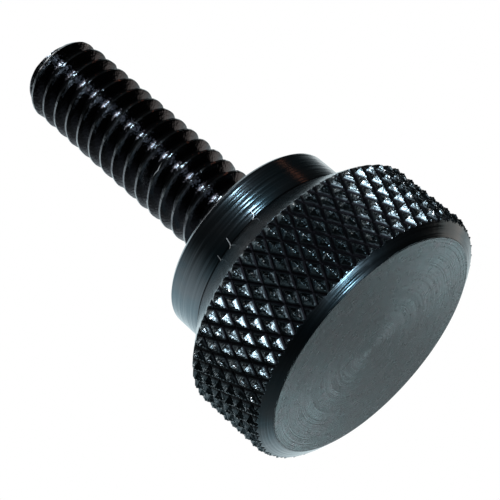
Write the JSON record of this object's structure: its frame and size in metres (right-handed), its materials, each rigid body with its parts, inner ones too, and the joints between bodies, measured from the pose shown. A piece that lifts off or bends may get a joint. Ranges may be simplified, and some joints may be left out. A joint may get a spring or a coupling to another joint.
{
  "type": "thumb screw",
  "caption": "Knurled thumb screw: a wide diamond-knurled head on a cone and plain collar, with a machine-screw thread.",
  "frame": {"origin": "centre of the head's flat face, which the screw stands on", "axes": "+Z along the screw's axis, from the head's face to the thread's tip; X and Y square to it"},
  "size_m": [0.02, 0.02, 0.0325],
  "materials": {
    "black_oxide_steel": "black oxide over turned and knurled steel, satin, with a thin oil sheen"
  },
  "bodies": {
    "root": {"thumb_screw": "black_oxide_steel"}
  },
  "joints": []
}
